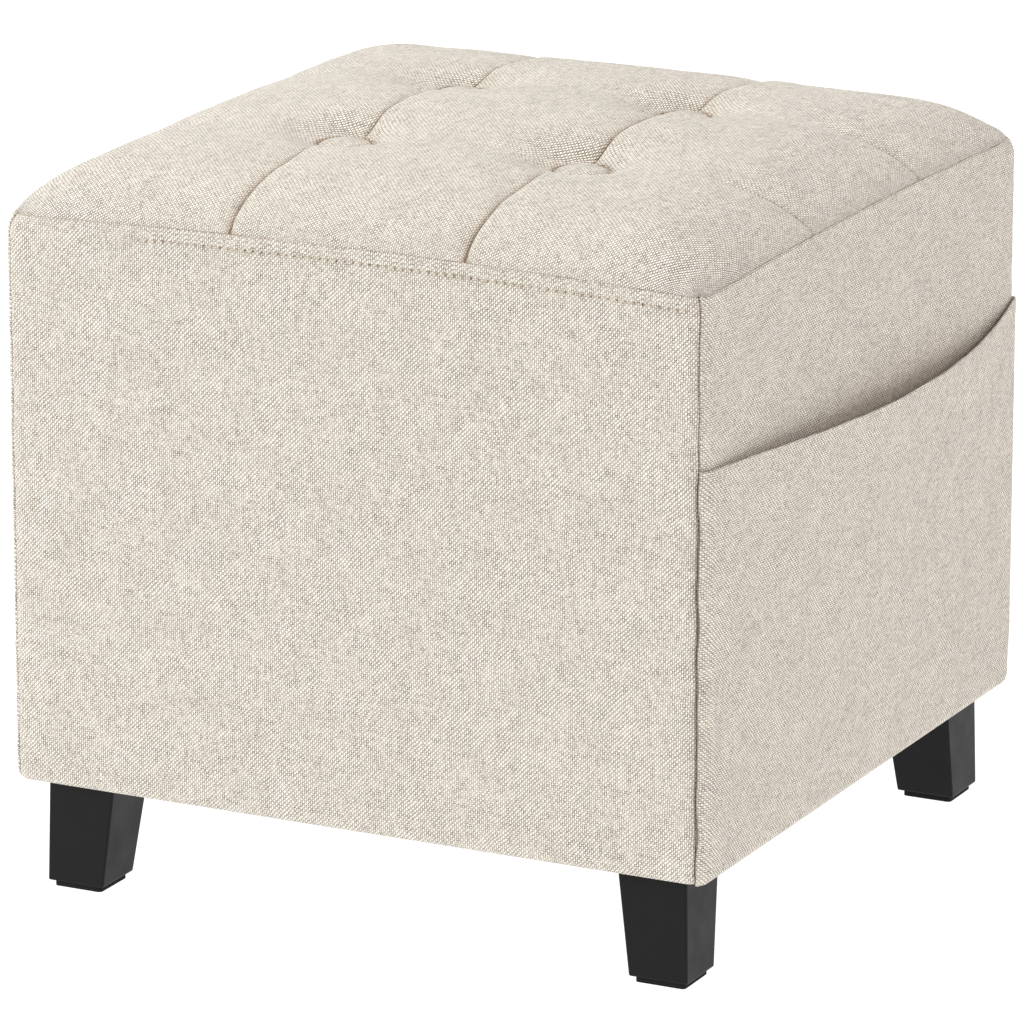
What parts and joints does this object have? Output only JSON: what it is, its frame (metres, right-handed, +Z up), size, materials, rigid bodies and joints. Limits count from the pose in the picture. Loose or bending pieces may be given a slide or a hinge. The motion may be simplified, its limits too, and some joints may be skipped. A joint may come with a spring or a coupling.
{
  "type": "cube pouf stool",
  "caption": "Cube pouf stool with a crowned, button-tufted seat, padded cloth sides, a scooped side pocket and black tapered block legs.",
  "frame": {"origin": "on the floor, midway along the overall width and depth, pocket included", "axes": "+Z up, -Y out of the front panel, +X out of the side with the pocket"},
  "size_m": [0.4114, 0.4, 0.4038],
  "materials": {
    "linen_cloth": "matte oat-coloured plain weave with slubs",
    "underside_cover": "plain matte black cover cloth",
    "black_leg": "satin black",
    "black_glide": "matte black"
  },
  "bodies": {
    "root": {"seat_pad": "linen_cloth", "front_panel": "linen_cloth", "back_panel": "linen_cloth", "left_panel": "linen_cloth", "right_panel": "linen_cloth", "side_pocket": "linen_cloth", "button_front_left": "linen_cloth", "button_front_right": "linen_cloth", "button_back_left": "linen_cloth", "button_back_right": "linen_cloth", "base_panel": "underside_cover", "leg_front_left": "black_leg", "leg_front_right": "black_leg", "leg_back_left": "black_leg", "leg_back_right": "black_leg", "glide_front_left": "black_glide", "glide_front_right": "black_glide", "glide_back_left": "black_glide", "glide_back_right": "black_glide"}
  },
  "joints": []
}
